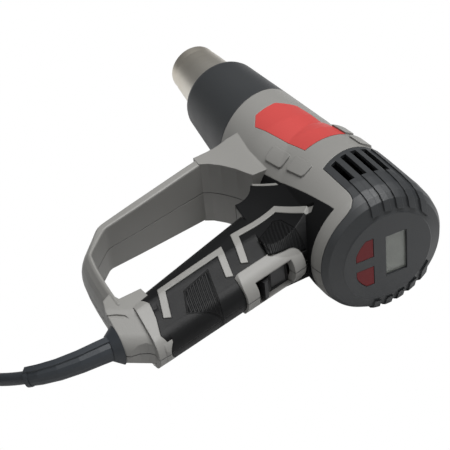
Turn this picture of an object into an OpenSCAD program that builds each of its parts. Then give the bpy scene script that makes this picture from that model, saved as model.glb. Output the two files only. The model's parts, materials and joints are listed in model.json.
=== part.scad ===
// Hot-air gun with a closed hand guard, lying on its right side.
// X runs along the barrel from the flat rear face to the nozzle, Y runs down the
// handle, Z is up and is the gun's left side. The halves of the housing meet at z = 0.

/* [Barrel] */
// Radius of the barrel where it leaves the motor section
barrel_r = 36.4; // [34:0.2:38]
// Radius of the barrel where it meets the nose sleeve
barrel_front_r = 32.5; // [31:0.1:34]
// Distance from the rear face to the nose sleeve, on the barrel axis
barrel_len = 150.2; // [146:0.2:158]
// Lean of the joint between barrel and nose sleeve, in degrees
joint_lean = 13.7; // [6:0.1:18]
// Wall of the mouldings
wall = 2.5; // [2:0.1:3]

/* [Motor section] */
// Largest radius of the motor section
motor_r = 42.2; // [41:0.1:44]
// Offset of the motor section from the barrel axis, away from the handle
motor_off = 4; // [3:0.1:5]
// Length of the motor section, from the rear face to its front shoulder
motor_len = 91; // [88:0.5:94]
// Radius of the flat rear face
face_r = 28.5; // [27:0.1:31]

/* [Rear cap] */
// Width of one vent slot
slot_w = 4.4; // [3.4:0.1:5]
// Distance from one vent slot to the next
slot_pitch = 8.2; // [7.6:0.1:9]
// Number of vent slots on each side
slot_count = 4; // [2:1:4]
// Height of the ribs that run rearward from the slots
rib_h = 0.9; // [0.4:0.1:1.4]
// Depth of the rim that shows behind the handle
rim_depth = 7.5; // [6.5:0.1:10]
// Height of the display opening
display_h = 14.3; // [12:0.1:16]
// Width of the display opening
display_w = 29; // [24:0.2:31]
// Travel of each key
key_travel = 0.8; // [0.4:0.1:0.8]

/* [Nose and nozzle] */
// Length of the nose sleeve, on the barrel axis
sleeve_len = 55.1; // [50:0.2:60]
// Radius of the nose sleeve at its front
sleeve_front_r = 27.1; // [26:0.1:29]
// Radius of the steel heater tube
tube_r = 21; // [20:0.1:21.4]
// Length of the nozzle ahead of the nose sleeve
nozzle_len = 42.4; // [36:0.2:50]
// Radius of the nozzle collar, where attachments push on
collar_r = 17; // [15:0.1:18]
// Length of the nozzle collar
collar_len = 7.5; // [6:0.1:12]
// Thickness of the steel sheet
steel_t = 0.8; // [0.6:0.1:1]

/* [Handle] */
// Distance from the barrel axis to the end of the handle
handle_len = 162; // [158:0.5:166]
// Half thickness of the handle
grip_r = 16.6; // [16:0.1:17]
// Radius of the palm side of the handle
palm_r = 11.4; // [10.5:0.1:12]
// Rake of the palm side, in degrees
palm_rake = 15; // [14.5:0.1:15.5]
// Rake of the finger side, in degrees
finger_rake = 22.7; // [22:0.1:23.2]
// Thickness of the soft grip
grip_t = 1.4; // [1:0.1:1.6]
// Width of the light lines set into the grip
inlay_w = 4.4; // [3.4:0.1:5]

/* [Hand guard] */
// Thickness of the guard band
guard_t = 7.8; // [7:0.1:8.6]
// Half width of the guard at the barrel
guard_top_w = 21.9; // [20:0.1:22.4]
// Half width of the guard at the end of the handle
guard_end_w = 15.9; // [15.4:0.1:16.4]

/* [Switch] */
// Length of the switch opening
switch_len = 28; // [26:0.1:29]
// Width of the switch opening
switch_w = 17; // [15:0.1:18]
// Height of the bezel round the switch opening
bezel_h = 1.5; // [1:0.1:2]

/* [Motor and fan] */
// Radius of the motor can
can_r = 18; // [16:0.1:19]
// Radius of the motor shaft
shaft_r = 1.6; // [1.5:0.05:2]
// Radius of the fan
fan_r = 28.4; // [26:0.1:28.6]
// Number of fan blades
blade_count = 9; // [5:1:11]

/* [Supply cord] */
// Diameter of the supply cord
cord_d = 7.4; // [7:0.1:7.6]
// Length of the cord's bend protector
relief_len = 52; // [48:0.5:56]

/* [Hidden] */
$fn = 96;

gap = 0.3;
fit = 0.05;
far = 200;
lift = motor_r;
sleeve_x = barrel_len;
sleeve_end = barrel_len + sleeve_len;
tip_x = sleeve_end + nozzle_len;

// Places along the motor section
vent_end = 26;
fan_x = 76;
fan_w = 11;
duct_x = 64;
duct_end = 94;
duct_r = fan_r + 2.6;
duct_t = 1.8;
bulkhead_x = 96;
can_x = 26;
can_len = 41;
mount_x = can_x + can_len + 0.3;
mount_t = 3;
tube_x = 117;
core_x = 123;
core_len = 76;
liner_r = tube_r - steel_t - 0.2;
core_r = liner_r - 1.1;

// Places on the control panel, seen in the plane of the rear face
face_t = wall;
display_y = -9.9;
window_x = 1.8;
window_t = 1.2;
window_lip = 1;
display_x = window_x + window_t + gap;
display_t = 3.4;
board_x = display_x + display_t + gap;
board_t = 1.6;
board_r = 31;
key_y = 5.6;
key_z = 3.6;
key_outer = 21;
key_centre = -2.5;
key_reach = 17;
key_x = 0.2;
key_flange_x = face_t + gap;
key_flange_t = 0.8;
switch_plunger = key_flange_x + key_flange_t + key_travel + 0.1;

// Handle lines, measured in the plane z = 0
palm_x0 = 29.7;
finger_x0 = 95.3;
wedge_d = 18;
nose_tip_s = 91;
nose_half = 24;
flare_r = 62;
flare_y = 62;
flare_turn = 5;
ridge_a = [17, 20.8];
ridge_b = [98, 32];
grip_back = rim_depth + 9;
grip_front = 97.5;
grip_len = handle_len - 23;
end_half = 15.4;
relief_x = 14.5;
neck_r = 7.2;
relief_base_r = 11.4;
cavity_r = grip_r - grip_t - wall;
clamp_screw_x = 6.7;

// Switch, in the frame of the palm line
switch_s = 62;
pivot_d = 9.5;
rocker_tilt = 9;

// Route of the free cord and its coil, chosen by hand
cord_r = cord_d / 2;
floor_z = -lift;
coil_centre = [118, handle_len + 129];
coil_turn_r = 41;
coil_cols = 2;
coil_rows = 4;
coil_out_r = coil_turn_r + coil_cols * cord_r;
coil_in_r = coil_turn_r - coil_cols * cord_r;
coil_top_z = floor_z + coil_rows * cord_d;
coil_in_y = coil_centre.y - coil_turn_r - cord_r;
relief_path = [for (q = [[0, 0, 0], [-0.002, 0.216, -0.006], [0.008, 0.431, -0.027], [0.057, 0.66, -0.066],
                         [0.14, 0.842, -0.113], [0.23, 0.968, -0.158]])
    [relief_x, handle_len + 0.4, 0] + relief_len * q];
relief_end = relief_path[len(relief_path) - 1];
cord_path = [for (q = [[0, 0, 0], [0.068, 0.184, 0.105], [0.166, 0.373, 0.256], [0.303, 0.554, 0.459],
                       [0.455, 0.717, 0.675], [0.608, 0.845, 0.852], [0.749, 0.939, 0.964],
                       [0.88, 0.991, 0.997], [1, 1, 1]])
    [relief_end.x + q[0] * (coil_centre.x - relief_end.x), relief_end.y + q[1] * (coil_in_y - relief_end.y),
     relief_end.z + q[2] * (floor_z + cord_r - relief_end.z)]];
plug_r = 16;
plug_x = 172;
plug_z = floor_z + plug_r;
tail_path = [for (q = [[0, 0], [12, 0.07], [26, 0.354], [40, 0.737], [54, 1]])
    [coil_centre.x + q[0], coil_in_y, coil_top_z - cord_r + q[1] * (plug_z - coil_top_z + cord_r)]];

// Names of colours
grey = [0.53, 0.53, 0.51];
black = [0.16, 0.17, 0.17];
steel = [0.72, 0.70, 0.66];
red = [0.76, 0.18, 0.16];

// ---------------------------------------------------------------- helpers

function unit(v) = v / norm(v);
function tangent(path, i) =
    unit(path[min(i + 1, len(path) - 1)] - path[max(i - 1, 0)]);
function side_of(t) = unit(cross(t, [0, 0, 1]));

// Closed skin over rings of points, each ring with as many points as the others
module skin(rings) {
    count = len(rings);
    per = len(rings[0]);
    points = [for (ring = rings) each ring];
    sides = [for (i = [0 : count - 2], j = [0 : per - 1])
        let (k = (j + 1) % per)
        each [[i * per + j, i * per + k, (i + 1) * per + k],
              [i * per + j, (i + 1) * per + k, (i + 1) * per + j]]];
    ends = [[for (j = [per - 1 : -1 : 0]) j], [for (j = [0 : per - 1]) (count - 1) * per + j]];
    polyhedron(points, concat(sides, ends), convexity = 6);
}

// Round rope along a path, with a radius for each of its points
module rope(path, radii, sides) {
    skin([for (i = [0 : len(path) - 1])
        let (t = tangent(path, i), u = side_of(t), v = cross(u, t))
        [for (j = [0 : sides - 1]) let (a = 360 * j / sides)
            path[i] + radii[i] * (cos(a) * u + sin(a) * v)]]);
}

// Solid turned about the X axis from [radius, x] points
module turned(profile) {
    rotate([0, 90, 0]) rotate_extrude() polygon(profile);
}

module rod_x(r, x0, x1) {
    translate([x0, 0, 0]) rotate([0, 90, 0]) cylinder(r = r, h = x1 - x0);
}

module rod_z(r, z0, z1) {
    translate([0, 0, z0]) cylinder(r = r, h = z1 - z0);
}

module box(low, high) {
    translate(low) cube(high - low);
}

// Outline in the XY plane, as thick as z0 to z1
module plate_z(z0, z1) {
    translate([0, 0, z0]) linear_extrude(z1 - z0) children();
}

// Outline in the YZ plane, from x0 to x1
module plate_x(x0, x1) {
    translate([x0, 0, 0]) rotate([90, 0, 90]) linear_extrude(x1 - x0) children();
}

// Rectangle with true round corners
module round_rect(low, high, r) {
    translate([low.x + r, low.y]) square([high.x - low.x - 2 * r, high.y - low.y]);
    translate([low.x, low.y + r]) square([high.x - low.x, high.y - low.y - 2 * r]);
    for (x = [low.x + r, high.x - r], y = [low.y + r, high.y - r]) translate([x, y]) circle(r);
}

// Outline of a line of even width, mitred at its corners
function left_of(d) = [-d.y, d.x] / norm(d);
function mitre(points, i) =
    let (a = left_of(points[max(i, 1)] - points[max(i, 1) - 1]),
         b = left_of(points[min(i + 1, len(points) - 1)] - points[min(i + 1, len(points) - 1) - 1]))
    (a + b) / (1 + a * b);
module stroke(points, w) {
    polygon(concat(
        [for (i = [0 : len(points) - 1]) points[i] + mitre(points, i) * w / 2],
        [for (i = [len(points) - 1 : -1 : 0]) points[i] - mitre(points, i) * w / 2]));
}

module palm_frame() {
    translate([palm_x0, 0, 0]) rotate([0, 0, palm_rake]) children();
}

module finger_frame() {
    translate([finger_x0, 0, 0]) rotate([0, 0, finger_rake]) children();
}

// Section in (x, z), drawn out along Y from y0 to y1
module plate_y(y0, y1) {
    translate([0, y0, 0]) rotate([-90, 0, 0]) linear_extrude(y1 - y0) children();
}

// ------------------------------------------------------------ outer forms

// Barrel and nose, grown by g
module barrel_form(g, x0 = 6, x1 = 0) {
    end = x1 == 0 ? sleeve_end : x1;
    turned([[0, x0], [barrel_r + g, x0], [barrel_r + g, motor_len + 18], [barrel_front_r + g, sleeve_x],
            [sleeve_front_r + g, sleeve_end], [0, end]]);
}

// Motor section with its bevelled rear, grown by g
module motor_form(g) {
    translate([0, -motor_off, 0])
        turned([[0, -g], [face_r + 1 + g, -g], [face_r + 1.6 + g, 0.5 - g], [motor_r - 4.4 + g, 3.4 - g],
                [motor_r - 1.7 + g, 7.2 - g], [motor_r - 0.4 + g, 13], [motor_r + g, 22],
                [motor_r - 0.9 + g, 44], [motor_r - 2.2 + g, 63], [motor_r - 3.2 + g, 76],
                [motor_r - 4.4 + g, 88], [barrel_r - motor_off + 3.6 + g, motor_len + 5],
                [barrel_r - motor_off - 0.6 + g, motor_len + 16], [0, motor_len + 16 + g]]);
}

// Everything behind the tilted joint with the nose sleeve
module behind_joint(shift) {
    translate([sleeve_x + shift, 0, 0]) rotate([0, 0, joint_lean]) translate([-far * 2, -far, -far])
        cube([far * 2, far * 2, far * 2]);
}

// Outline of the rear cap, seen from the side, grown by g
module cap_outline(g) {
    arc_r = 112.8;
    shelf_y = 9.5 + g;
    intersection() {
        translate([-53, -40]) circle(arc_r + g, $fn = 180);
        polygon([[-20, -80], [90, -80], [90, shelf_y], [17, shelf_y], [12.6, shelf_y + 1.2],
                 [9.4, shelf_y + 4], [rim_depth + g + 0.3, shelf_y + 7.6], [rim_depth + g, shelf_y + 11],
                 [rim_depth + g, 80], [-20, 80]]);
    }
}

module cap_region(g) {
    plate_z(-60, 60) cap_outline(g);
}

// Finger side of the handle: half-round, grown by g
module finger_form(g) {
    finger_frame() plate_y(0, far) {
        translate([-grip_r, 0]) circle(grip_r + g);
        translate([-grip_r - 90, 0.04 - grip_r - g]) square([90, 2 * (grip_r + g) - 0.08]);
    }
}

// Section with a tight round on one side that widens to the full thickness
module soft_side(near, wide, d) {
    lean = asin((wide - near) / d);
    slim = 0.04;
    circle(near);
    translate([d, 0]) circle(wide);
    translate([d, slim - wide]) square([90, 2 * (wide - slim)]);
    intersection() {
        rotate(lean) translate([-90, -90]) square([180, 90 + near - slim]);
        rotate(-lean) translate([-90, slim - near]) square([180, 90]);
        translate([-(near - slim) * sin(lean), -90]) square([d - (wide - near) * sin(lean), 180]);
    }
}

// Palm side of the handle, grown by g
module palm_form(g) {
    palm_frame() plate_y(0, far) translate([palm_r, 0]) soft_side(palm_r + g, grip_r + g + 0.12, wedge_d);
}

// Round side of the web between thumb and finger, growing towards the barrel
module nose_form(g) {
    start = 8;
    reach = 84;
    rise = tan(nose_half);
    slim = 0.05;
    palm_frame() translate([-0.12, nose_tip_s + g / sin(nose_half), 0]) rotate([0, 0, nose_half]) {
        translate([0, -start, 0]) rotate([90, 0, 0])
            cylinder(r1 = start * rise, r2 = reach * rise, h = reach - start);
        plate_x(0, 90)
            polygon([[-start - 2, (start + 2) * rise - slim], [1 - reach, (reach - 1) * rise - slim],
                     [1 - reach, slim - (reach - 1) * rise], [-start - 2, slim - (start + 2) * rise]]);
    }
}

// Side flare where the handle swells to meet the motor section, grown by g
module flare_form(g) {
    intersection() {
        translate([18, flare_y, 0]) rotate([0, 0, -flare_turn]) plate_x(-12, 120) difference() {
            translate([-60, -39]) square([60, 78]);
            for (s = [-1, 1]) translate([0, s * (grip_r - 0.06 + flare_r)]) circle(flare_r - g, $fn = 240);
        }
        plate_z(-60, 60) difference() {
            offset(delta = g) polygon([[grip_back - 0.2, 18.2], [grip_front + 4, 29.6], [grip_front + 4, 48.2],
                                       [97, 43.4], [88.5, 56.5], [72, 58.6], [64, 62], [grip_back - 0.2, 62]]);
            translate([88.5, 56.5]) circle(16 - g);
        }
        nose_form(g);
    }
}

// Whole outer shape of the handle, grown by g
module handle_form(g) {
    intersection() {
        finger_form(g);
        palm_form(g);
        box([-30, 10, -40], [110, handle_len - 14.5, 40]);
    }
    flare_form(g);
}

// Everything that the soft grip may cover, grown by g
module outer_form(g) {
    handle_form(g);
    motor_form(g);
    intersection() {
        barrel_form(g, grip_back);
        box([0, -60, -60], [grip_front + 3, 60, 60]);
    }
}

// Root that carries the front of the guard
module guard_root() {
    slope = (24 - guard_top_w) / 48;
    intersection() {
        plate_z(-40, 40)
            polygon([[grip_front - 12, 20], [grip_front - 12, 38], [grip_front - 6, 41], [97, 43.4],
                     [106, 49.4], [112, 55], [114.8, 60], [122.6, 60], [123.4, 50], [125, 42], [128.4, 33],
                     [131, 20]]);
        plate_x(80, 140) polygon([[12, -24], [12, 24], [60, guard_top_w], [60, -guard_top_w]]);
    }
}

// Band of the guard, swept round its corners
function bend(a, b, c, r) =
    let (u = unit(a - b), v = unit(c - b), half = acos(u * v) / 2, d = r / tan(half),
         o = b + unit(u + v) * r / sin(half), turn = sign(cross(v, u)),
         start = atan2((b + u * d - o).y, (b + u * d - o).x), sweep = 180 - 2 * half)
    [for (k = [0 : 5]) let (t = start + turn * sweep * k / 5) o + r * [cos(t), sin(t)]];

guard_path = concat(
    [[119.4, 56], [115.8, 70], [110.4, 90], [104.8, 111]],
    bend([119.2, 59], [98.8, handle_len - 27.2], [79.6, handle_len - 9.4], 13),
    bend([98.8, handle_len - 27.2], [79.6, handle_len - 9.4], [56, handle_len - 6.6], 12),
    [[64, handle_len - 7.3], [54, handle_len - 6.6], [44, handle_len - 6.2], [28, handle_len - 6]]);

function guard_width(y) =
    guard_top_w + (guard_end_w - guard_top_w) * min(1, max(0, (y - 58) / 76));

// How far the outer face falls back at its edges
function guard_crown(x) = 1.2 + 3.6 * min(1, max(0, (104 - x) / 22));

// Half of the band's section as [share of the thickness, height] from the outer middle to the inner edge
function guard_half(w, h, fall) =
    [[h, 0], [h - fall * 0.06, 0.25 * w], [h - fall * 0.25, 0.5 * w], [h - fall * 0.56, 0.75 * w],
     [h - fall * 0.85, w - 2.2], [h - fall * 0.95 - 0.5, w - 0.8], [h - fall - 1.5, w],
     [1.2 - h, w], [0.3 - h, w - 0.3], [-h, w - 1.2]];

module guard_band() {
    skin([for (i = [0 : len(guard_path) - 1])
        let (p = guard_path[i], a = guard_path[max(i - 1, 0)], b = guard_path[min(i + 1, len(guard_path) - 1)],
             t = unit(b - a), n = [t.y, -t.x], q = guard_half(guard_width(p.y), guard_t / 2, guard_crown(p.x)))
        [for (k = [9 : -1 : 1]) [p.x + n.x * q[k][0], p.y + n.y * q[k][0], -q[k][1]],
         for (k = [0 : 9]) [p.x + n.x * q[k][0], p.y + n.y * q[k][0], q[k][1]]]]);
}

// End of the handle, with the crease where its lower half steps in
module end_form() {
    intersection() {
        plate_z(-end_half, end_half)
            polygon([[-5.5, grip_len - 2], [-8.4, grip_len + 1.1], [-8.6, grip_len + 3.4], [-7.4, grip_len + 5.6],
                     [-0.6, grip_len + 11.1], [1.2, grip_len + 15], [2.3, handle_len - 1.6], [4, handle_len],
                     [27, handle_len], [36, handle_len - 2.4], [40, handle_len - 8], [33, handle_len - 11],
                     [34.5, grip_len - 2], [20, grip_len - 4]]);
        palm_frame() plate_y(0, far) translate([8.8, 0]) soft_side(9.5, end_half + 0.1, 17);
        translate([-7.9, grip_len + 5.3, 0]) rotate([0, 0, -33.4]) plate_y(-60, 60)
            translate([11, 0]) soft_side(11, end_half + 0.14, 13);
    }
}

module crease_cut() {
    for (s = [-1, 1])
        plate_z(s > 0 ? end_half - 1.8 : -end_half - 5, s > 0 ? end_half + 5 : 1.8 - end_half)
            polygon([[26, handle_len + 2], [22.8, handle_len - 4.6], [19.7, handle_len - 8.5],
                     [10.8, handle_len - 12], [2, handle_len - 15], [-2.2, handle_len - 19.9],
                     [-20, handle_len - 12], [-20, handle_len + 2]]);
}

// Region of the soft grip, seen from the side
module grip_outline(g) {
    polygon([[grip_back + 0.2 - g, 30], [ridge_a.x - g, ridge_a.y - g], [ridge_b.x + g, ridge_b.y - g],
             [grip_front + g, 36], [grip_front - 1 + g, 46], [74, 60], [60, 100], [40, grip_len + 12],
             [28, grip_len + 4 + g], [19, grip_len - 0.6 + g], [9, grip_len + 0.4 + g], [-2, grip_len + 3.2 + g],
             [-6, grip_len + 0.6 + g], [-20, grip_len + g], [-20, 70], [grip_back + 0.2 - g, 50]]);
}

module grip_region(g) {
    plate_z(-60, 60) grip_outline(g);
}

// Light lines that stand through the soft grip
inlay_a = [[31.5, 26.6], [52.5, 41], [46.4, 71.2], [25, 76]];
inlay_b = [[19.4, grip_len - 50.4], [38.4, grip_len - 53.8], [25.2, grip_len - 10.6], [7, grip_len - 5.4]];

module inlay_outline(g) {
    stroke(inlay_a, inlay_w + 2 * g);
    stroke(inlay_b, inlay_w + 2 * g);
}

module inlays() {
    for (s = [-1, 1])
        intersection() {
            plate_z(s > 0 ? 4 : -60, s > 0 ? 60 : -4) inlay_outline(0);
            handle_form(0.4);
        }
}

// Bezel round the switch, in the frame of the palm line
module bezel_block(g) {
    palm_frame() translate([-6, 0, 0]) rotate([90, 0, 90]) linear_extrude(17 + g)
        round_rect([switch_s - switch_len / 2 - 5.5 - g, -13.5 - g],
                   [switch_s + switch_len / 2 + 12 + g, 13.5 + g], 6);
}

module bezel() {
    intersection() {
        bezel_block(0);
        palm_form(bezel_h);
        box([-20, 40, -20], [60, 100, 20]);
    }
}

module switch_opening(g) {
    palm_frame()
        box([-8, switch_s - switch_len / 2 + 3 - g, -switch_w / 2 - g],
            [24.5, switch_s + switch_len / 2 + 3 + g, switch_w / 2 + g]);
}

// Raised tiles above the grip and on the shoulder of the motor section
module tiles() {
    for (s = [-1, 1], t = [[84, 21.2, 17, 8.6, 8], [63.2, 17.6, 17, 8.6, 8], [84, -24.5, 13, 9, 4],
                           [68, -27.5, 13, 9, 4]])
        intersection() {
            translate([t[0], t[1], 0]) rotate([0, 0, 8]) plate_z(s > 0 ? 12 : -50, s > 0 ? 50 : -12)
                round_rect([-t[2] / 2, -t[3] / 2], [t[2] / 2, t[3] / 2], 2.4);
            union() {
                barrel_form(1.2);
                motor_form(1.2);
            }
        }
}

badge_points = [[119.5, 17.6], [128.4, 12.2], [131.4, -3.4], [128.2, -8], [124, -14.4], [77, -22.4], [72.2, 8.4]];

module badge_prism(g) {
    plate_z(10, 60) offset(delta = g) polygon(badge_points);
}

// ------------------------------------------------------------ hollow inside

module air_space() {
    difference() {
        union() {
            barrel_form(-wall, 20);
            intersection() {
                motor_form(-wall);
                box([-5, -60, -60], [motor_len + 14, 60, 60]);
            }
        }
        // bulkheads that hold the fan duct and the heater tube
        box([bulkhead_x, -60, -60], [bulkhead_x + 2.5, 60, 60]);
        box([tube_x + 1.6, -60, -60], [tube_x + 4.6, 60, 60]);
    }
    rod_x(duct_r - 0.9, bulkhead_x - 1, bulkhead_x + 3.5);
    rod_x(tube_r + 0.3, tube_x, tube_x + 6);
}

module handle_space() {
    intersection() {
        palm_form(-grip_t - wall);
        finger_form(-grip_t - wall);
        palm_frame() box([0, 38, -40], [35, far, 40]);
        box([-40, 38, -40], [90, grip_len + 1, 40]);
    }
    // way for the wires up to the motor section
    box([46, 28, -7], [60, 44, 7]);
    // room for the cord clamp and the neck of the bend protector
    box([relief_x - 9.4, grip_len - 6, -9.2], [relief_x + 12.5, handle_len - 12, 9.2]);
    translate([relief_x, 0, 0]) plate_y(grip_len, handle_len + 2) circle(neck_r + 0.2);
}

// Screws that hold the halves together, driven from the right side
screw_spots = [[116.6, 50], [58, 56], [90.6, handle_len - 20.2], [0.6, grip_len + 6], [29.2, handle_len - 8]];
screw_r = 1.5;
screw_head_r = 2.9;

module screw_holes() {
    for (p = screw_spots) translate([p.x, p.y, 0]) {
        rod_z(screw_r + fit, -40, 9);
        rod_z(screw_head_r + 0.2, -40, -9);
    }
}

// ----------------------------------------------------------------- housing

module housing_solid() {
    difference() {
        union() {
            // skin beside the grip
            difference() {
                union() {
                    intersection() {
                        barrel_form(0, grip_back - 4);
                        behind_joint(0);
                    }
                    motor_form(0);
                    handle_form(0);
                }
                grip_region(0.1);
                cap_region(gap);
            }
            // core under the grip
            difference() {
                outer_form(-grip_t);
                cap_region(gap + 0.1);
            }
            guard_root();
            guard_band();
            end_form();
            inlays();
            bezel();
            tiles();
        }
        air_space();
        handle_space();
        crease_cut();
        switch_opening(0);
        screw_holes();
        difference() {
            badge_prism(0.2);
            barrel_form(-0.4);
            motor_form(-0.4);
        }
    }
}

module housing_left() color(grey) intersection() {
    housing_solid();
    box([-40, -90, 0], [260, 200, 60]);
}

module housing_right() color(grey) intersection() {
    housing_solid();
    box([-40, -90, -60], [260, 200, 0]);
}

module grip_solid() {
    difference() {
        intersection() {
            outer_form(0);
            grip_region(0);
        }
        outer_form(-grip_t);
        guard_root();
        guard_band();
        end_form();
        plate_z(-60, 60) inlay_outline(0.08);
        bezel_block(0.1);
    }
}

module grip_half() {
    intersection() {
        grip_solid();
        box([-40, -90, 0], [260, 200, 60]);
    }
}

module grip_left() color(black) grip_half();

module grip_right() color(black) difference() {
    mirror([0, 0, 1]) grip_half();
    screw_holes();
}

module badge_plate() color(red) intersection() {
    badge_prism(0);
    difference() {
        union() {
            barrel_form(0.1);
            motor_form(0.1);
        }
        barrel_form(-0.4);
        motor_form(-0.4);
    }
}

// ---------------------------------------------------------------- rear cap

module key_outline(g) {
    intersection() {
        translate([key_centre, 0]) circle(key_outer + g);
        translate([key_y - g, key_z - g]) square([key_reach - key_y + 2 * g, 13 + 2 * g]);
    }
}

module cap_slots() {
    for (i = [0 : slot_count - 1])
        let (y = 3 - i * slot_pitch)
        for (s = [-1, 1])
            intersection() {
                box([vent_end, y - slot_w / 2, s > 0 ? 8 : -60], [90, y + slot_w / 2, s > 0 ? 60 : -8]);
                plate_z(-60, 60) cap_outline(-3);
            }
}

module cap_ribs() {
    for (i = [0 : slot_count])
        let (y = 3 - i * slot_pitch)
        intersection() {
            motor_form(rib_h);
            box([-2, y - slot_w / 2, -60], [vent_end + (i == slot_count ? 30 : 0), y + slot_w / 2, 60]);
            difference() {
                rod_x(far, -2, 60);
                translate([0, -motor_off, 0]) rod_x(face_r + 4, -3, 30);
            }
            cap_region(-1);
        }
}

module rear_cap() color(black) difference() {
    union() {
        intersection() {
            motor_form(0);
            cap_region(0);
        }
        cap_ribs();
    }
    difference() {
        motor_form(-wall);
        for (a = [80, 200, 320]) translate([0, -motor_off + 27 * cos(a), 27 * sin(a)]) rod_x(3, 0, board_x);
    }
    cap_slots();
    // display opening with a rebate for the window behind it
    box([-1, display_y - display_h / 2, -display_w / 2], [face_t + 1, display_y + display_h / 2, display_w / 2]);
    box([window_x - 0.1, display_y - display_h / 2 - window_lip - 0.2, -display_w / 2 - window_lip - 0.2],
        [face_t + 1, display_y + display_h / 2 + window_lip + 0.2, display_w / 2 + window_lip + 0.2]);
    plate_x(-1, face_t + 1) {
        key_outline(gap);
        mirror([0, 1]) key_outline(gap);
    }
    for (a = [80, 200, 320]) translate([0, -motor_off + 27 * cos(a), 27 * sin(a)]) rod_x(1 + fit, face_t, 20);
}

module display_window() color([0.62, 0.66, 0.6, 0.6])
    box([window_x, display_y - display_h / 2 - window_lip, -display_w / 2 - window_lip],
        [window_x + window_t, display_y + display_h / 2 + window_lip, display_w / 2 + window_lip]);

module display_module() color([0.55, 0.58, 0.5])
    box([display_x, display_y - display_h / 2 - 0.6, -display_w / 2 - 0.6],
        [display_x + display_t, display_y + display_h / 2 + 0.6, display_w / 2 + 0.6]);

module key() {
    plate_x(key_x, key_flange_x + key_flange_t) key_outline(0);
    plate_x(key_flange_x, key_flange_x + key_flange_t) key_outline(0.9);
}

module key_up() color(red) key();

module key_down() color(red) mirror([0, 0, 1]) key();

module key_switches() color([0.2, 0.2, 0.2])
    for (s = [-1, 1]) translate([0, 11, s * 10]) {
        box([switch_plunger + 0.6, -3, -3], [board_x, 3, 3]);
        rod_x(1.6, switch_plunger, switch_plunger + 0.7);
    }

module control_board() color([0.1, 0.35, 0.2]) difference() {
    translate([0, -motor_off, 0]) rod_x(board_r, board_x + 0.1, board_x + board_t);
    for (a = [80, 200, 320]) translate([0, -motor_off + 27 * cos(a), 27 * sin(a)]) rod_x(1.3, 0, 20);
}

module board_screws() color(steel)
    for (a = [80, 200, 320]) translate([0, -motor_off + 27 * cos(a), 27 * sin(a)]) {
        rod_x(1, face_t + 1.5, board_x + board_t + 0.1);
        rod_x(2, board_x + board_t + 0.1, board_x + board_t + 1.4);
    }

// ------------------------------------------------------------ motor and fan

module motor_can() color([0.6, 0.6, 0.6]) difference() {
    union() {
        rod_x(can_r, can_x, can_x + can_len);
        rod_x(6, can_x - 3, can_x + can_len + 3);
    }
    rod_x(shaft_r + fit, can_x + can_len - 12, can_x + can_len + 4);
    for (s = [-1, 1]) translate([0, 0, s * 12]) rod_x(1.5 + fit, can_x + can_len - 6, can_x + can_len + 1);
}

module motor_mount() color([0.25, 0.25, 0.25]) difference() {
    rod_x(duct_r - duct_t - gap, mount_x, mount_x + mount_t);
    rod_x(6.2, mount_x - 1, mount_x + mount_t + 1);
    for (a = [0 : 60 : 300]) rotate([a + 30, 0, 0]) translate([0, 20.5, 0]) rod_x(6.4, mount_x - 1, mount_x + 4);
    for (s = [-1, 1]) translate([0, 0, s * 12]) rod_x(1.7, mount_x - 1, mount_x + mount_t + 1);
}

module motor_screws() color(steel)
    for (s = [-1, 1]) translate([0, 0, s * 12]) {
        rod_x(1.5, can_x + can_len - 5, mount_x + mount_t);
        rod_x(2.8, mount_x + mount_t, mount_x + mount_t + 1.8);
    }

module motor_shaft() color(steel) rod_x(shaft_r, can_x + can_len - 11.5, fan_x + fan_w - 1);

module fan_impeller() color([0.3, 0.3, 0.3]) difference() {
    union() {
        rod_x(9, fan_x, fan_x + fan_w);
        intersection() {
            rod_x(fan_r, fan_x, fan_x + fan_w);
            union() for (k = [0 : blade_count - 1]) rotate([360 * k / blade_count, 0, 0])
                translate([fan_x + fan_w / 2, 0, 0]) rotate([0, 0, 0]) rotate([0, 52, 0])
                    translate([-0.8, 6, -9]) cube([1.6, fan_r, 18]);
        }
    }
    rod_x(shaft_r + 0.02, fan_x - 1, fan_x + fan_w - 1);
}

module fan_duct() color([0.3, 0.3, 0.3]) difference() {
    union() {
        rod_x(duct_r, duct_x, bulkhead_x - 0.2);
        rod_x(duct_r - 1.1, duct_x, bulkhead_x + 2.4);
    }
    rod_x(duct_r - duct_t, duct_x - 1, bulkhead_x + 4);
}

module air_guide() color([0.35, 0.35, 0.33]) {
    difference() {
        turned([[0, bulkhead_x + 3], [duct_r - 1.2, bulkhead_x + 3], [tube_r + 2, tube_x - 0.3], [0, tube_x - 0.3]]);
        turned([[0, bulkhead_x + 2], [duct_r - 2.9, bulkhead_x + 2], [duct_r - 3, bulkhead_x + 3],
                [tube_r - 0.6, tube_x], [0, tube_x]]);
    }
    rod_x(8, bulkhead_x + 3, tube_x - 2);
    for (k = [0 : 4]) rotate([72 * k, 0, 0])
        box([bulkhead_x + 4, 6, -0.8], [tube_x - 4, tube_r + 3, 0.8]);
}

// ------------------------------------------------------------------ heater

module nozzle_tube() color(steel) {
    cone_x = tip_x - collar_len;
    shoulder_x = sleeve_end + 1.5;
    difference() {
        turned([[0, tube_x], [tube_r + 4, tube_x], [tube_r + 4, tube_x + 1.3], [tube_r, tube_x + 1.3],
                [tube_r, shoulder_x], [collar_r + 0.7, cone_x], [collar_r, cone_x + 0.3], [collar_r, tip_x],
                [0, tip_x]]);
        turned([[0, tube_x - 1], [tube_r - steel_t, tube_x - 1], [tube_r - steel_t, shoulder_x - 0.1],
                [collar_r + 0.7 - steel_t, cone_x - 0.1], [collar_r - steel_t, cone_x + 0.2],
                [collar_r - steel_t, tip_x + 1], [0, tip_x + 1]]);
    }
}

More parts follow.
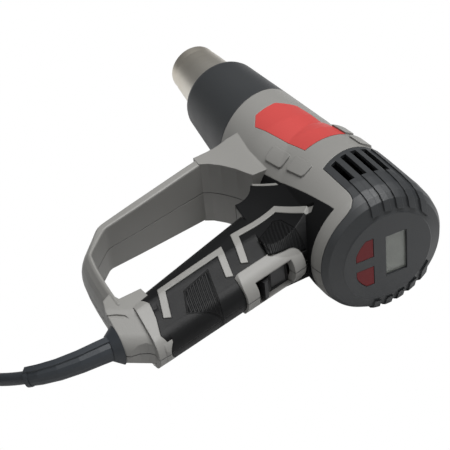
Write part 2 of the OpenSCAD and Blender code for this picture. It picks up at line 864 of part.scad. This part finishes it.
module heater_tube_liner() color([0.75, 0.68, 0.5]) difference() {
    rod_x(liner_r, tube_x + 1, sleeve_end);
    rod_x(liner_r - 0.8, tube_x, sleeve_end + 1);
}

module heater_core() color([0.85, 0.83, 0.78]) difference() {
    rod_x(core_r, core_x, core_x + core_len);
    for (k = [0 : 5]) rotate([60 * k, 0, 0]) translate([0, 11.6, 0]) rod_x(3.6, core_x - 1, core_x + core_len + 1);
    rod_x(3, core_x - 1, core_x + core_len + 1);
}

module heating_coils() color([0.5, 0.48, 0.45])
    for (k = [0 : 5]) rotate([60 * k, 0, 0]) translate([0, 11.6, 0]) difference() {
        rod_x(3.2, core_x + 1, core_x + core_len - 1);
        rod_x(2.2, core_x, core_x + core_len);
    }

module heater_end_plate() color([0.75, 0.68, 0.5]) difference() {
    rod_x(core_r, core_x - 2.3, core_x - gap);
    for (k = [0 : 5]) rotate([60 * k, 0, 0]) translate([0, 11.6, 0]) rod_x(3.6, core_x - 4, core_x + 1);
}

module thermocouple() color(steel) rod_x(2.4, core_x + core_len - 12, sleeve_end - 2);

module nose_sleeve() color(black) difference() {
    union() {
        difference() {
            turned([[0, sleeve_x - 20], [barrel_front_r + 2, sleeve_x - 20], [barrel_front_r, sleeve_x],
                    [sleeve_front_r + 0.2, sleeve_end - 3], [sleeve_front_r - 0.4, sleeve_end - 1.2],
                    [sleeve_front_r - 1.6, sleeve_end - 0.2], [sleeve_front_r - 3, sleeve_end],
                    [0, sleeve_end]]);
            behind_joint(gap);
        }
        // spigot inside the barrel
        intersection() {
            barrel_form(-wall - gap, 90);
            behind_joint(1);
            translate([sleeve_x - 5, 0, 0]) rotate([0, 0, joint_lean]) translate([0, -far, -far])
                cube([far, far * 2, far * 2]);
        }
    }
    turned([[0, sleeve_x - 40], [barrel_front_r - 2 * wall, sleeve_x - 40],
            [barrel_front_r - 2 * wall - 0.2, sleeve_x + 10], [sleeve_front_r - wall, sleeve_end - 3],
            [tube_r + 0.5, sleeve_end - 2.4], [tube_r + 0.5, sleeve_end + 1], [0, sleeve_end + 1]]);
}

// ---------------------------------------------------- switch and electronics

module switch_body() color([0.12, 0.12, 0.13]) palm_frame() translate([0, switch_s + 3, 0]) difference() {
    box([5.2, 0.6 - switch_len / 2, 0.4 - switch_w / 2], [23, switch_len / 2 - 0.6, switch_w / 2 - 0.4]);
    box([4, 2.2 - switch_len / 2, 1.8 - switch_w / 2], [16, switch_len / 2 - 2.2, switch_w / 2 - 1.8]);
    translate([pivot_d, 0, 0]) rod_z(1.2 + fit, -switch_w / 2, switch_w / 2);
}

module switch_rocker() color([0.1, 0.1, 0.11]) palm_frame() translate([pivot_d, switch_s + 3, 0]) {
    half = switch_len / 2 - 3.8;
    depth = switch_w / 2 - 2.3;
    rod_z(1.2, 0.6 - switch_w / 2, switch_w / 2 - 0.6);
    rotate([0, 0, rocker_tilt]) plate_z(-depth, depth) {
        polygon([[-6.4, -half], [-4.2, 0], [-6.4, half - 4], [-8, half - 3], [-8, half], [-3, half], [3, 4],
                 [3, -4], [-3, -half]]);
        circle(3.4);
    }
}

module power_board() color([0.1, 0.35, 0.2])
    palm_frame() box([25, grip_len - 47, 1.7 - cavity_r], [26.6, grip_len - 3, cavity_r - 1.7]);

module suppression_capacitor() color([0.75, 0.62, 0.2])
    palm_frame() box([26.8, grip_len - 43, -9], [34, grip_len - 29, -1]);

module terminal_block() color([0.2, 0.4, 0.3])
    palm_frame() box([26.8, grip_len - 17, -8], [34, grip_len - 7, 8]);

module triac() color([0.2, 0.2, 0.2])
    palm_frame() box([20, grip_len - 41, -5], [24.8, grip_len - 26, 5]);

module cord_lead() color(black)
    translate([relief_x, 0, 0]) plate_y(grip_len - 1, handle_len - 15.8) circle(cord_r);

module cable_clamp() color([0.25, 0.25, 0.25]) difference() {
    box([relief_x - 9, grip_len + 1.2, -9.1], [relief_x + 9, grip_len + 6.8, -0.6]);
    translate([relief_x, 0, 0]) plate_y(grip_len, grip_len + 9) circle(cord_r + 0.1);
    for (s = [-1, 1]) translate([relief_x + s * clamp_screw_x, grip_len + 4, 0]) rod_z(1.5 + fit, -20, 0);
}

module clamp_screws() color(steel)
    for (s = [-1, 1]) translate([relief_x + s * clamp_screw_x, grip_len + 4, 0]) {
        rod_z(1.5, -9, -0.6);
        rod_z(2.6, -0.6, 1.2);
    }

module housing_screws() color(steel)
    for (p = screw_spots) translate([p.x, p.y, 0]) {
        rod_z(screw_r, -9, 8);
        rod_z(screw_head_r, -11, -9);
    }

// -------------------------------------------------------------- supply cord

module bend_protector() color([0.13, 0.14, 0.15]) {
    last = len(relief_path) - 1;
    taper = [for (i = [0 : last]) neck_r + (cord_r + 1.5 - neck_r) * i / last];
    translate([relief_x, 0, 0]) plate_y(handle_len - 15.6, handle_len - 12.2) circle(8.6);
    translate([relief_x, 0, 0]) plate_y(handle_len - 12.3, handle_len + 0.5) circle(neck_r);
    translate([relief_x, handle_len + 0.1, 0]) rotate([-90, 0, 0])
        cylinder(r1 = relief_base_r, r2 = neck_r + 0.4, h = 5.2);
    rope(relief_path, taper, 16);
    // raised flat rib along the top and a collar at the end
    skin([for (i = [0 : last])
        let (t = tangent(relief_path, i), u = side_of(t), v = cross(u, t))
        [for (q = [[-2.3, 1], [2.3, 1], [2.3, taper[i] + 0.5], [-2.3, taper[i] + 0.5]])
            relief_path[i] + q[0] * u + q[1] * v]]);
    rope([relief_end - 2.6 * tangent(relief_path, last), relief_end], [cord_r + 2.1, cord_r + 2.1], 16);
}

module power_cord() color([0.15, 0.16, 0.17]) {
    rope(cord_path, [for (p = cord_path) cord_r], 10);
    rope(tail_path, [for (p = tail_path) cord_r], 10);
}

module cord_coil() color([0.15, 0.16, 0.17]) translate([coil_centre.x, coil_centre.y, floor_z])
    rotate_extrude() translate([coil_in_r, 0]) square([coil_out_r - coil_in_r, coil_top_z - floor_z]);

module mains_plug() color([0.13, 0.14, 0.15]) translate([plug_x, coil_in_y, plug_z])
    turned([[0, 0], [cord_r + 1.4, 0], [6.4, 18], [10, 22], [plug_r, 30], [plug_r, 46], [plug_r - 1, 47],
            [0, 47]]);

module plug_pins() color(steel)
    for (s = [-1, 1]) translate([plug_x, coil_in_y + s * 9.5, plug_z]) rod_x(2.4, 47, 66);

housing_left();
housing_right();
grip_left();
grip_right();
rear_cap();
nose_sleeve();
nozzle_tube();
badge_plate();
display_window();
display_module();
key_up();
key_down();
key_switches();
control_board();
board_screws();
motor_can();
motor_mount();
motor_screws();
motor_shaft();
fan_impeller();
fan_duct();
air_guide();
heater_tube_liner();
heater_core();
heating_coils();
heater_end_plate();
thermocouple();
switch_body();
switch_rocker();
power_board();
suppression_capacitor();
terminal_block();
triac();
cable_clamp();
clamp_screws();
cord_lead();
housing_screws();
bend_protector();
power_cord();
cord_coil();
mains_plug();
plug_pins();
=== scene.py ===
"""Looks of the hot-air gun: camera, supply cord with its strap, finishes, floor and light."""
import json
import math

import bpy
from mathutils import Matrix, Vector


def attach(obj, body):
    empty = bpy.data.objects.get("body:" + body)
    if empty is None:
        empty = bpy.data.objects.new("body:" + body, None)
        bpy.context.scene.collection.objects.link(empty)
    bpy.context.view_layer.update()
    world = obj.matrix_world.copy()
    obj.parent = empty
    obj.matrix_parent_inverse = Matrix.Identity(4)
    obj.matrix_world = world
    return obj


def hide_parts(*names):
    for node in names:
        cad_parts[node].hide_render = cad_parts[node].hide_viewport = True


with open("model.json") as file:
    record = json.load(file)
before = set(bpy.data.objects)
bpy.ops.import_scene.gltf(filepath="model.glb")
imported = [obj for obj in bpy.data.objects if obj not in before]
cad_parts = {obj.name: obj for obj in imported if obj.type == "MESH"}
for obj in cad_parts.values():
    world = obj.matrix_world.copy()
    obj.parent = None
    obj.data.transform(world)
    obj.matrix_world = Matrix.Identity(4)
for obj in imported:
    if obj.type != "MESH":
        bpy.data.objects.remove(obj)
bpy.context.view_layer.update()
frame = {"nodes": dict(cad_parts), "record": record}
MM = 0.001  # lengths written in mm are turned into metres with this


# ------------------------------------------------------------------ camera

SENSOR_MM = 36.0
LENS_MM = 121.92
CAMERA_PLACE = Vector((-0.58853, 0.35175, 0.56506))


def make_camera():
    """The photo's camera, as fitted to it."""
    data = bpy.data.cameras.new("camera")
    data.sensor_width = SENSOR_MM
    data.lens = LENS_MM
    data.clip_start = 0.05
    data.clip_end = 20.0
    cam = bpy.data.objects.new("camera", data)
    bpy.context.scene.collection.objects.link(cam)
    right = Vector((-0.4544, -0.8870, -0.0823))
    down = Vector((-0.5187, 0.3386, -0.7851))
    ahead = Vector((0.7242, -0.3141, -0.6139))
    cam.matrix_world = Matrix((
        (right.x, -down.x, -ahead.x, CAMERA_PLACE.x),
        (right.y, -down.y, -ahead.y, CAMERA_PLACE.y),
        (right.z, -down.z, -ahead.z, CAMERA_PLACE.z),
        (0, 0, 0, 1)))
    bpy.context.scene.camera = cam


# -------------------------------------------------------------------- cord

# lengths in mm, angles in degrees
CORD_D = 7.4
FLOOR_Z = -42.2
# from the end of the bend protector down to the coil
CORD_PATH = [
    (26.46, 212.74, -8.22), (32.68, 218.91, -11.40), (41.66, 225.26, -15.97),
    (54.20, 231.33, -22.12), (68.11, 236.80, -28.66), (82.12, 241.10, -34.02),
    (95.02, 244.25, -37.41), (107.02, 246.00, -38.41), (118.00, 246.30, -38.50)]
# from the coil to the plug
TAIL_PATH = [
    (118, 246.3, -16.3), (130, 246.3, -17), (144, 246.3, -19.8), (158, 246.3, -23.6),
    (172, 246.3, -26.2)]
COIL_CENTRE = (118, 291)
COIL_TURN_R = 41
# slots that the turns go through: side (outer 1, inner -1) and row above the floor
COIL_SLOTS = [(1, 0), (-1, 0), (-1, 1), (1, 1), (1, 2), (-1, 2), (-1, 3), (1, 3)]
COIL_ROWS = 4
# the first turn moves over to the next slot from this angle on, each later turn sooner
SHIFT_FROM = 310
SHIFT_SOONER = 36
SHIFT_LENGTH = 30.0
COIL_STEP = 10  # between points of the coil


def smooth_line(points, parts):
    """Points on a smooth curve through the given ones."""
    out = []
    for i in range(len(points) - 1):
        a = Vector(points[max(i - 1, 0)])
        b = Vector(points[i])
        c = Vector(points[i + 1])
        d = Vector(points[min(i + 2, len(points) - 1)])
        for k in range(parts):
            t = k / parts
            out.append(0.5 * (2 * b + (c - a) * t + (2 * a - 5 * b + 4 * c - d) * t * t
                              + (3 * b - a - 3 * c + d) * t ** 3))
    return out


def coil_points():
    """The turns of the coil, from its lowest outer turn to its highest outer one."""
    out = []
    turns = len(COIL_SLOTS) - 1
    for k in range(turns):
        start = SHIFT_FROM - SHIFT_SOONER * k
        (side_a, row_a), (side_b, row_b) = COIL_SLOTS[k], COIL_SLOTS[k + 1]
        for a in range(0, 360, COIL_STEP):
            t = min(1.0, max(0.0, (a - start) / SHIFT_LENGTH))
            t = t * t * (3 - 2 * t)
            side = side_a + (side_b - side_a) * t
            row = row_a + (row_b - row_a) * t
            r = COIL_TURN_R + side * CORD_D / 2
            angle = math.radians(a - 90)
            out.append(Vector((COIL_CENTRE[0] + r * math.cos(angle),
                               COIL_CENTRE[1] + r * math.sin(angle),
                               FLOOR_Z + CORD_D * (row + 0.5))))
    return out


TIE_HALF_WIDTH = 2.4
TIE_THICK = 0.5
TIE_LOWEST = FLOOR_Z - 0.5  # just above the floor


def make_tie():
    """The strap that holds the turns of the coil together."""
    side, corner = 8.0, 3.6
    low = FLOOR_Z - 0.25
    high = FLOOR_Z + COIL_ROWS * CORD_D + 0.6
    centre_y = COIL_CENTRE[1] + COIL_TURN_R
    loop = []
    for k, (sy, sz) in enumerate([(1, 1), (-1, 1), (-1, -1), (1, -1)]):
        for a in range(0, 91, 15):
            angle = math.radians(90 * k + a)
            loop.append((centre_y + sy * (side - corner) + corner * math.cos(angle),
                         (high if sz > 0 else low) - sz * corner + corner * math.sin(angle)))
    n = len(loop)
    mid = Vector((centre_y, (low + high) / 2))
    verts = []
    for x in (-TIE_HALF_WIDTH, TIE_HALF_WIDTH):
        for thick in (0.0, TIE_THICK):
            for y, z in loop:
                out = (Vector((y, z)) - mid).normalized() * thick
                verts.append(((COIL_CENTRE[0] + x) * MM, (y + out.x) * MM,
                              max(z + out.y, TIE_LOWEST) * MM))
    # the four rings of points: inside and outside of one edge, then of the other
    a, b, c, d = 0, n, 2 * n, 3 * n
    faces = []
    for i in range(n):
        j = (i + 1) % n
        faces += [(b + i, b + j, d + j, d + i), (a + j, a + i, c + i, c + j),
                  (a + i, a + j, b + j, b + i), (c + j, c + i, d + i, d + j)]
    mesh = bpy.data.meshes.new("coil_tie")
    mesh.from_pydata(verts, [], faces)
    mesh.update()
    tie = bpy.data.objects.new("coil_tie", mesh)
    bpy.context.scene.collection.objects.link(tie)
    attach(tie, "gun")
    return tie


def make_cord():
    """The supply cord from the bend protector through the coil to the plug."""
    points = (smooth_line(CORD_PATH, 5) + coil_points() + smooth_line(TAIL_PATH, 4)
              + [Vector(TAIL_PATH[-1])])
    curve = bpy.data.curves.new("supply_cord", "CURVE")
    curve.dimensions = "3D"
    curve.bevel_depth = 1.0  # times the radius of each point, which is the cord's
    curve.bevel_resolution = 5
    curve.use_fill_caps = True
    spline = curve.splines.new("POLY")
    spline.points.add(len(points) - 1)
    for p, q in zip(spline.points, points):
        p.co = (q.x * MM, q.y * MM, q.z * MM, 1)
        p.radius = CORD_D / 2 * MM
    spline.use_smooth = True
    cord = bpy.data.objects.new("supply_cord", curve)
    bpy.context.scene.collection.objects.link(cord)
    length = sum((b - a).length for a, b in zip(points, points[1:])) * MM
    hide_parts("power_cord", "cord_coil")
    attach(cord, "gun")
    return cord


# --------------------------------------------------------------- materials

def fill(tree, socket, value):
    """Links a wire to a socket, or gives the socket its own value."""
    if isinstance(value, Wire):
        tree.links.new(value.socket, socket)
    elif socket.type == "RGBA" and len(value) == 3:
        socket.default_value = (*value, 1)
    else:
        socket.default_value = value


def add_node(tree, kind, out=0, inputs=None, **settings):
    """A new node, its settings first and then its sockets, as a wire from one output."""
    n = tree.nodes.new(kind)
    for key, value in settings.items():
        setattr(n, key, value)
    for key, value in (inputs or {}).items():
        fill(tree, n.inputs[key], value)
    return Wire(tree, n.outputs[out])


class Wire:
    """A value inside a material, with arithmetic that adds the nodes for it."""

    def __init__(self, tree, socket):
        self.tree = tree
        self.socket = socket

    def maths(self, operation, *values):
        return add_node(self.tree, "ShaderNodeMath", 0, dict(enumerate(values)),
                        operation=operation)

    def __add__(self, other):
        return self.maths("ADD", self, other)

    def __radd__(self, other):
        return self.maths("ADD", other, self)

    def __sub__(self, other):
        return self.maths("SUBTRACT", self, other)

    def __rsub__(self, other):
        return self.maths("SUBTRACT", other, self)

    def __mul__(self, other):
        return self.maths("MULTIPLY", self, other)

    def __rmul__(self, other):
        return self.maths("MULTIPLY", other, self)

    def __neg__(self):
        return self.maths("MULTIPLY", self, -1.0)

    def __abs__(self):
        return self.maths("ABSOLUTE", self)

    def ramp(self, low, high):
        """0 below low, 1 above high, smooth between."""
        return add_node(self.tree, "ShaderNodeMapRange", "Result",
                        {"Value": self, "From Min": low, "From Max": high},
                        interpolation_type="SMOOTHSTEP")


class Finish:
    """One material on the principled shader."""

    def __init__(self, name, **sockets):
        self.material = bpy.data.materials.new(name)
        self.material.use_nodes = True
        self.tree = self.material.node_tree
        self.shader = self.tree.nodes["Principled BSDF"]
        for key, value in sockets.items():
            self.set(key, value)

    def set(self, key, value):
        """Fills a socket of the shader; _ in its name stands for a space."""
        fill(self.tree, self.shader.inputs[key.replace("_", " ")], value)

    def node(self, kind, out=0, inputs=None, **settings):
        return add_node(self.tree, kind, out, inputs, **settings)

    def place(self):
        return self.node("ShaderNodeTexCoord", "Object")

    def axis(self, letter):
        return self.node("ShaderNodeSeparateXYZ", letter, {"Vector": self.place()})

    def noise(self, scale, detail=3.0, rough=0.5, stretch=None):
        where = self.place()
        if stretch:
            where = self.node("ShaderNodeVectorMath", 0, {0: where, 1: stretch},
                              operation="MULTIPLY")
        return self.node("ShaderNodeTexNoise", 0, {"Vector": where, "Scale": scale,
                                                   "Detail": detail, "Roughness": rough})

    def blend(self, factor, a, b):
        """Colour a where factor is 0 and b where it is 1."""
        return self.node("ShaderNodeMix", 2, {0: factor, 6: a, 7: b}, data_type="RGBA")

    def pad(self, corners):
        """Metres inside the outline of a pad seen from the side; below 0 outside it."""
        x, y = self.axis("X"), self.axis("Y")
        depth = None
        for (ax, ay), (bx, by) in zip(corners, corners[1:] + corners[:1]):
            long = math.hypot(bx - ax, by - ay)
            nx, ny = (ay - by) / long, (bx - ax) / long
            edge = (x - ax * MM) * nx + (y - ay * MM) * ny
            depth = edge if depth is None else depth.maths("MINIMUM", depth, edge)
        return depth

    def relief(self, height, depth, under=None):
        """Surface relief; depth in metres for a height of 1."""
        inputs = {"Height": height, "Distance": depth, "Strength": 1.0}
        if under:
            inputs["Normal"] = under
        return self.node("ShaderNodeBump", 0, inputs)


def shade(colour, factor):
    """The colour made darker or lighter."""
    return tuple(min(1.0, c * factor) for c in colour)


# outlines of the two ribbed pads on each side of the grip: corners in mm, anticlockwise
# seen from the left
PADS = (
    [(21, 38), (42, 42.5), (45, 46.7), (35.6, 62), (17, 60)],
    [(1.3, 102.5), (28.6, 97.5), (20.2, 117.1), (5.5, 122.7)],
)
# metres from here on
RIB_PITCH = 0.0022
RIB_HEIGHT = 0.0005
SEAM_DEPTH = 0.0004
# distances over which something fades in or out: from the plane of the seam outwards, and
# from the outline of a pad inwards
SEAM_EDGE = (0.00012, 0.0004)
GROOVE_START = (-0.0001, 0.0002)
GROOVE_END = (0.0005, 0.0008)
RIBS_START = (0.0009, 0.0016)
# how the ribs curve and slant across a pad
BEND_SCALE = 14.0
RIB_CURVE = 0.012
RIB_SLANT = 0.12


def add_seam(f, colour, tone, normal):
    """The line where the two halves of a moulding meet."""
    line = 1.0 - abs(f.axis("Z")).ramp(*SEAM_EDGE)
    tone = f.blend(line * 0.75, tone, shade(colour, 0.25))
    return tone, f.relief(-line, SEAM_DEPTH, normal)


def add_pad(f, corners, colour, tone, normal):
    """A raised pad: a groove round it and curved ribs across it, with painted shade in the groove
    and in the hollows between the ribs.
    """
    depth = f.pad(corners)
    rim = depth.ramp(*GROOVE_START) - depth.ramp(*GROOVE_END)
    inside = depth.ramp(*RIBS_START)
    bend = f.axis("X") * BEND_SCALE
    along = f.axis("Y") + bend * bend * RIB_CURVE + f.axis("X") * RIB_SLANT
    wave = along.maths("SINE", along * (2 * math.pi / RIB_PITCH))
    ribs = wave.ramp(-0.6, 0.9) * inside
    painted_shade_in_hollows = (1.0 - wave.ramp(-0.9, 0.1)) * inside
    # painted shade: the colour darkens in the hollows between the ribs and in the groove round
    # the pad
    tone = f.blend(painted_shade_in_hollows * 0.55 + rim * 0.8, tone, shade(colour, 0.2))
    return tone, f.relief(ribs - rim, RIB_HEIGHT, normal)


def moulded(name, colour, rough, grain, grain_scale, vary, shine=0.42, soft=0.0, seam=False,
            pads=()):
    """Moulded plastic: fine spark-eroded grain, faint flow clouds, handling marks, soft edges."""
    f = Finish(name, Specular_IOR_Level=shine)
    clouds = f.noise(9.0, 3.0)
    marks = f.noise(38.0, 4.0, 0.62)
    tone = f.blend(clouds.ramp(0.35, 0.65), shade(colour, 1 - vary), shade(colour, 1 + vary))
    normal = f.node("ShaderNodeBevel", 0, {"Radius": soft}, samples=6) if soft else None
    if seam:
        tone, normal = add_seam(f, colour, tone, normal)
    for corners in pads:
        tone, normal = add_pad(f, corners, colour, tone, normal)
    f.set("Base Color", tone)
    f.set("Roughness", rough + (marks - 0.5) * 0.22)
    f.set("Normal", f.relief(f.noise(grain_scale, 2.0, 0.6), grain, normal))
    return f


def bare_metal(name, fresh, dull, mottle_scale, rough, rough_scale, spread):
    """Plain metal, mottled from its fresh to its dull colour."""
    f = Finish(name, Metallic=1.0)
    f.set("Base Color", f.blend(f.noise(mottle_scale).ramp(0.4, 0.7), fresh, dull))
    f.set("Roughness", rough + f.noise(rough_scale) * spread)
    return f


# colour, roughness, grain height in metres, grain scale, unevenness of the colour, the rest
PLASTICS = {
    "housing_grey": ((0.195, 0.192, 0.182), 0.46, 0.00005, 1100.0, 0.06,
                     {"soft": 0.0009, "seam": True}),
    "grip_black": ((0.0062, 0.0064, 0.0067), 0.40, 0.00008, 800.0, 0.12,
                   {"shine": 0.12, "soft": 0.0009, "seam": True, "pads": PADS}),
    "cap_black": ((0.026, 0.028, 0.030), 0.44, 0.00005, 1000.0, 0.08, {"soft": 0.0006}),
    "plate_red": ((0.41, 0.050, 0.046), 0.42, 0.00002, 1400.0, 0.05, {"shine": 0.3}),
    "key_red": ((0.125, 0.008, 0.010), 0.36, 0.00003, 1200.0, 0.06,
                {"shine": 0.2, "soft": 0.0005}),
    "inner_plastic": ((0.03, 0.03, 0.031), 0.5, 0.00006, 900.0, 0.06, {}),
    "switch_black": ((0.010, 0.010, 0.011), 0.32, 0.00002, 1200.0, 0.1, {}),
    "cord_rubber": ((0.022, 0.026, 0.031), 0.5, 0.00004, 900.0, 0.1, {}),
    "board": ((0.012, 0.085, 0.035), 0.3, 0.00003, 500.0, 0.15, {}),
    "heater_ceramic": ((0.72, 0.69, 0.62), 0.7, 0.0001, 500.0, 0.06, {}),
    "mica": ((0.50, 0.42, 0.26), 0.45, 0.00008, 300.0, 0.15, {}),
    "display": ((0.17, 0.18, 0.155), 0.4, 0.00001, 900.0, 0.05, {}),
}

# fresh and dull colour, scale of the mottling, roughness, its scale and its spread
METALS = {
    "screw_steel": ((0.62, 0.62, 0.60), (0.45, 0.44, 0.42), 300.0, 0.28, 500.0, 0.2),
    "motor_metal": ((0.42, 0.42, 0.41), (0.30, 0.30, 0.29), 60.0, 0.35, 200.0, 0.2),
    "pin_brass": ((0.66, 0.62, 0.52), (0.55, 0.50, 0.40), 200.0, 0.25, 400.0, 0.15),
}


def nozzle_finish():
    """Turned steel, straw-coloured by the heat towards its mouth."""
    f = Finish("nozzle_steel", Metallic=1.0)
    heat = f.axis("X").ramp(0.205, 0.248)
    stain = f.noise(30.0, 4.0, 0.6)
    f.set("Base Color", f.blend(heat * 0.35 + stain.ramp(0.45, 0.75) * 0.25,
                                (0.80, 0.77, 0.70), (0.60, 0.53, 0.42)))
    turned = f.noise(600.0, 3.0, 0.6, (1.0, 0.02, 0.02))
    f.set("Roughness", 0.32 + turned * 0.16)
    f.set("Normal", f.relief(turned, 0.00003))
    return f


def heater_wire_finish():
    """Oxidised resistance wire, wound close."""
    f = Finish("heater_wire", Metallic=0.7)
    f.set("Base Color", f.blend(f.noise(200.0).ramp(0.4, 0.7), (0.25, 0.23, 0.20),
                                (0.14, 0.12, 0.11)))
    wound = f.node("ShaderNodeTexWave", 0, {"Scale": 300.0}, wave_type="BANDS",
                   bands_direction="X")
    f.set("Roughness", 0.5 + wound * 0.1)
    f.set("Normal", f.relief(wound, 0.0004))
    return f


def window_finish():
    """The display's window, a little smeared."""
    f = Finish("window", Transmission_Weight=0.55, IOR=1.46)
    smear = f.noise(40.0, 4.0, 0.6)
    f.set("Base Color", f.blend(smear.ramp(0.4, 0.7), (0.40, 0.42, 0.39), (0.34, 0.36, 0.33)))
    f.set("Roughness", 0.10 + smear * 0.12)
    return f


def make_finishes():
    """Every finish by the name of its material slot."""
    out = {"nozzle_steel": nozzle_finish(), "heater_wire": heater_wire_finish(),
           "window": window_finish()}
    for name, (*facts, rest) in PLASTICS.items():
        out[name] = moulded(name, *facts, **rest)
    for name, facts in METALS.items():
        out[name] = bare_metal(name, *facts)
    return out


# -------------------------------------------------------------- floor, light

def white_to_camera(tree, lit, kind, output):
    """The camera sees plain white; all other rays see what is lit."""
    white = add_node(tree, kind, 0, {"Color": (1, 1, 1, 1), "Strength": 1.0})
    seen = add_node(tree, "ShaderNodeLightPath", "Is Camera Ray")
    mix = add_node(tree, "ShaderNodeMixShader", 0,
                   {0: seen, 1: Wire(tree, lit.outputs[0]), 2: white})
    tree.links.new(mix.socket, tree.nodes[output].inputs[0])


FLOOR_GAP = 0.0006  # metres from under the cord to the floor; the rear cap dips 0.3 mm in


def make_stage():
    """A pale floor and a dim surround; the camera sees both as plain white, no shadow."""
    bpy.ops.mesh.primitive_plane_add(size=12, location=(0, 0, FLOOR_Z * MM - FLOOR_GAP))
    floor = bpy.context.object
    floor.name = "floor"
    f = Finish("floor", Roughness=0.9, Specular_IOR_Level=0.1)
    f.set("Base Color", f.blend(f.noise(2.0).ramp(0.3, 0.7), (0.60, 0.60, 0.60),
                                (0.63, 0.63, 0.63)))
    floor.data.materials.append(f.material)
    white_to_camera(f.tree, f.shader, "ShaderNodeEmission", "Material Output")

    world = bpy.data.worlds.new("studio")
    bpy.context.scene.world = world
    world.use_nodes = True
    dim = world.node_tree.nodes["Background"]
    dim.inputs["Color"].default_value = (1, 1, 1, 1)
    dim.inputs["Strength"].default_value = 0.14
    white_to_camera(world.node_tree, dim, "ShaderNodeBackground", "World Output")


def area_light(name, place, target, side, power):
    """A square soft light, aimed at a point."""
    data = bpy.data.lights.new(name, "AREA")
    data.shape = "RECTANGLE"
    data.size = data.size_y = side
    data.energy = power
    light = bpy.data.objects.new(name, data)
    light.location = place
    light.rotation_euler = (Vector(target) - Vector(place)).to_track_quat("-Z", "Y").to_euler()
    bpy.context.scene.collection.objects.link(light)


def make_lights():
    """Place, target, side and power of each light."""
    area_light("key", (0.02, -0.22, 1.15), (0.06, 0.06, 0), 0.9, 22.5)
    area_light("side", (-0.9, -0.5, 0.5), (0.05, 0.05, 0), 0.7, 1.4)
    area_light("fill", (-0.5, 0.9, 0.7), (0.05, 0.05, 0), 0.8, 1.6)


# ------------------------------------------------------------------ assembly

make_camera()
tie = make_tie()
cord = make_cord()
finishes = make_finishes()
slot_of = {s["node"]: s["material_slot"] for s in frame["record"]["subparts"]}
for name, obj in frame["nodes"].items():
    obj.data.materials.clear()
    obj.data.materials.append(finishes[slot_of[name]].material)
cord.data.materials.append(finishes["cord_rubber"].material)
tie.data.materials.append(finishes["inner_plastic"].material)
make_stage()
make_lights()

scene = bpy.context.scene
scene.view_settings.view_transform = "Standard"
scene.view_settings.look = "None"

bpy.context.view_layer.update()
